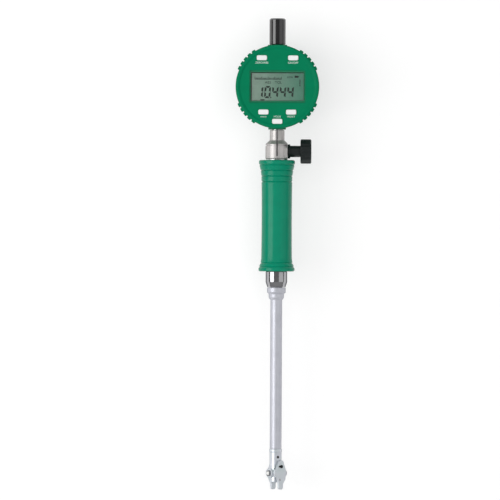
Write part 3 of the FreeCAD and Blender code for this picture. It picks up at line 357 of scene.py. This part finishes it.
def digit_bars(width, height, bar):
    """The outlines of the seven bars of a digit, by their usual letters."""
    cut = bar / 2
    middle = height / 2
    gap = BAR_GAP
    return {
        "a": [(cut, height), (width - cut, height), (width - bar - gap, height - bar),
              (bar + gap, height - bar)],
        "d": [(bar + gap, bar), (width - bar - gap, bar), (width - cut, 0), (cut, 0)],
        "g": [(cut, middle), (bar, middle + cut), (width - bar, middle + cut), (width - cut, middle),
              (width - bar, middle - cut), (bar, middle - cut)],
        "f": [(0, middle + gap), (0, height - cut), (bar, height - bar - gap), (bar, middle + cut + gap)],
        "e": [(0, cut), (0, middle - gap), (bar, middle - cut - gap), (bar, bar + gap)],
        "b": [(width, middle + gap), (width - bar, middle + cut + gap), (width - bar, height - bar - gap),
              (width, height - cut)],
        "c": [(width, cut), (width - bar, bar + gap), (width - bar, middle - cut - gap),
              (width, middle - gap)],
    }


def display_figures_and_painted_shadow():
    """What the display shows: a reading, a bar scale, a few signs and the dark rim of its cell, widened at
    the top and left as a painted shadow of the window's recess.
    """
    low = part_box("display_module")[1].z * 1000 - AXIS_Z + INK_LIFT
    high = low + INK_THICKNESS
    shape = bmesh.new()
    bars = digit_bars(DIGIT_WIDTH, DIGIT_HEIGHT, DIGIT_BAR)
    for index, figure in enumerate(READING):
        left = DIGIT_LEFT + index * DIGIT_PITCH
        for letter in LIT_BARS[figure]:
            outline = [(left + x + y * DIGIT_LEAN, DIGIT_FOOT + y) for x, y in bars[letter]]
            add_plate(shape, outline, low, high)
    point_left = DIGIT_LEFT + (WHOLE_DIGITS - 1) * DIGIT_PITCH + DIGIT_WIDTH
    boxes = [(point_left, DIGIT_FOOT, POINT_SIZE, POINT_SIZE)]
    span = (SCALE_TICKS - 1) * SCALE_PITCH
    boxes.append((SCALE_LEFT, SCALE_FOOT, span + TICK_WIDTH, SCALE_LINE))
    for tick in range(SCALE_TICKS):
        tall = TICK_TALL if tick % TALL_EVERY == 0 else TICK_HEIGHT
        boxes.append((SCALE_LEFT + tick * SCALE_PITCH, SCALE_FOOT + TICK_FOOT, TICK_WIDTH, tall))
    boxes.extend(SIGNS)
    # The cell's dark rim, widened at the top and left into a painted shadow of the window's recess.
    boxes.append((-SIGHT_X - LAP, -SIGHT_Y, LAP + BORDER_AND_SHADOW_LEFT, 2 * SIGHT_Y))
    boxes.append((SIGHT_X - BORDER_AND_SHADOW_RIGHT, -SIGHT_Y, LAP + BORDER_AND_SHADOW_RIGHT, 2 * SIGHT_Y))
    boxes.append((-SIGHT_X - LAP, SIGHT_Y - BORDER_AND_SHADOW_TOP, 2 * (SIGHT_X + LAP), LAP + BORDER_AND_SHADOW_TOP))
    boxes.append((-SIGHT_X - LAP, -SIGHT_Y - LAP, 2 * (SIGHT_X + LAP), LAP + BORDER_AND_SHADOW_BOTTOM))
    for left, foot, width, height in boxes:
        add_plate(shape, box_outline(left, foot, width, height), low, high)
    for text, x, foot in SIGN_WORDS:
        add_word(shape, text, x, foot, SIGN_WORD_HEIGHT, low, high)
    return shape


def face_words():
    """The white words beside the buttons."""
    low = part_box("face_housing")[1].z * 1000 - AXIS_Z - FACE_SINK + PRINT_LIFT
    high = low + PRINT_THICKNESS
    shape = bmesh.new()
    for text, x, foot, height in KEY_WORDS:
        add_word(shape, text, x, foot, height, low, high)
    return shape


# The display's figures include the painted shadow of the window's recess.
add("display_figures_and_painted_shadow", "display", "ink", display_figures_and_painted_shadow())
add("face_words", "display", "print", face_words())


# Light. The surroundings are dim overhead and at the sides, and brighter towards both ends of the gauge.
SKY_STRENGTH = 0.45
SKY_DIM = 0.5
SKY_DIM_UNTIL = 0.2
SKY_FULL_FROM = 0.8

world = bpy.data.worlds.new("studio")
bpy.context.scene.world = world
world.use_nodes = True
sky = world.node_tree
background = sky.nodes["Background"]
direction = sky.nodes.new("ShaderNodeSeparateXYZ")
sky.links.new(sky.nodes.new("ShaderNodeTexCoord").outputs["Generated"], direction.inputs["Vector"])
along = sky.nodes.new("ShaderNodeMath")
along.operation = "ABSOLUTE"
sky.links.new(direction.outputs["Y"], along.inputs[0])
sky.links.new(spread(sky, along.outputs[0], SKY_DIM, 1.0, SKY_DIM_UNTIL, SKY_FULL_FROM),
              background.inputs["Color"])
background.inputs["Strength"].default_value = SKY_STRENGTH


def softbox(name, lean, distance, width, length, watts):
    """A soft lamp beside the long axis, leaning from straight above by an angle in degrees."""
    data = bpy.data.lights.new(name, "AREA")
    data.shape = "RECTANGLE"
    data.size = width
    data.size_y = length
    data.energy = watts
    lamp = bpy.data.objects.new(name, data)
    lean = math.radians(lean)
    lamp.location = (math.sin(lean) * distance, 0, math.cos(lean) * distance)
    lamp.rotation_euler = (0, lean, 0)
    bpy.context.scene.collection.objects.link(lamp)
    return lamp


softbox("key", lean=-49, distance=1.3, width=0.9, length=0.8, watts=7.0)
softbox("fill", lean=52, distance=1.7, width=1.6, length=0.9, watts=2.6)
overhead = softbox("overhead", lean=0, distance=1.5, width=1.6, length=1.6, watts=11.5)
overhead.visible_glossy = False


# Floor. It looks this much brighter than lit, so that it is white round a soft shadow.
FLOOR_LIFT = 0.54
FLOOR_GRAIN = 700.0
FLOOR_COLOURS = ((0.5, 0.5, 0.5), (0.54, 0.54, 0.54))
FLOOR_REACH = 4.0

# It lies low enough for the round case to turn to its side in the collet.
FLOOR_LEVEL = -0.0175


def paper_finish():
    """Grey paper that the eye, gloss and glass see as white."""
    material, tree, shader = new_material("white_paper")
    coords = tree.nodes.new("ShaderNodeTexCoord").outputs["Object"]
    grain = noise(tree, coords, FLOOR_GRAIN)
    colour = two_colours(tree, spread(tree, grain, 0, 1), *FLOOR_COLOURS)
    tree.links.new(colour, shader.inputs["Base Color"])
    rays = tree.nodes.new("ShaderNodeLightPath")
    seen = rays.outputs["Is Camera Ray"]
    for kind in ("Is Glossy Ray", "Is Transmission Ray"):
        either = tree.nodes.new("ShaderNodeMath")
        either.operation = "MAXIMUM"
        tree.links.new(seen, either.inputs[0])
        tree.links.new(rays.outputs[kind], either.inputs[1])
        seen = either.outputs[0]
    shader.inputs["Emission Color"].default_value = (1, 1, 1, 1)
    tree.links.new(spread(tree, seen, 0.0, FLOOR_LIFT, 0, 1), shader.inputs["Emission Strength"])
    shader.inputs["Roughness"].default_value = 0.9
    shader.inputs["Specular IOR Level"].default_value = 0.1
    return material


corners = [(-FLOOR_REACH, -FLOOR_REACH, 0), (FLOOR_REACH, -FLOOR_REACH, 0),
           (FLOOR_REACH, FLOOR_REACH, 0), (-FLOOR_REACH, FLOOR_REACH, 0)]
floor_mesh = bpy.data.meshes.new("floor")
floor_mesh.from_pydata(corners, [], [(0, 1, 2, 3)])
floor_mesh.materials.append(paper_finish())
floor = bpy.data.objects.new("floor", floor_mesh)
floor.location.z = FLOOR_LEVEL
bpy.context.scene.collection.objects.link(floor)


# Camera. The photograph looks straight down from far away, at this many metres to its 500 pixels.
VIEW_WIDTH = 0.3615
VIEW_DISTANCE = 6.0
SENSOR = 36.0

# The point under the camera, in metres, and how far the camera is turned, in degrees
VIEW_X = -0.0192
VIEW_Y = 0.00275
VIEW_TURN = 0.28

camera_data = bpy.data.cameras.new("camera")
camera_data.sensor_width = SENSOR
camera_data.lens = SENSOR * VIEW_DISTANCE / VIEW_WIDTH
camera = bpy.data.objects.new("camera", camera_data)
camera.location = (VIEW_X, VIEW_Y, AXIS_Z / 1000 + VIEW_DISTANCE)
camera.rotation_euler = (0, 0, math.radians(VIEW_TURN))
bpy.context.scene.collection.objects.link(camera)
bpy.context.scene.camera = camera
bpy.context.scene.view_settings.view_transform = "Standard"
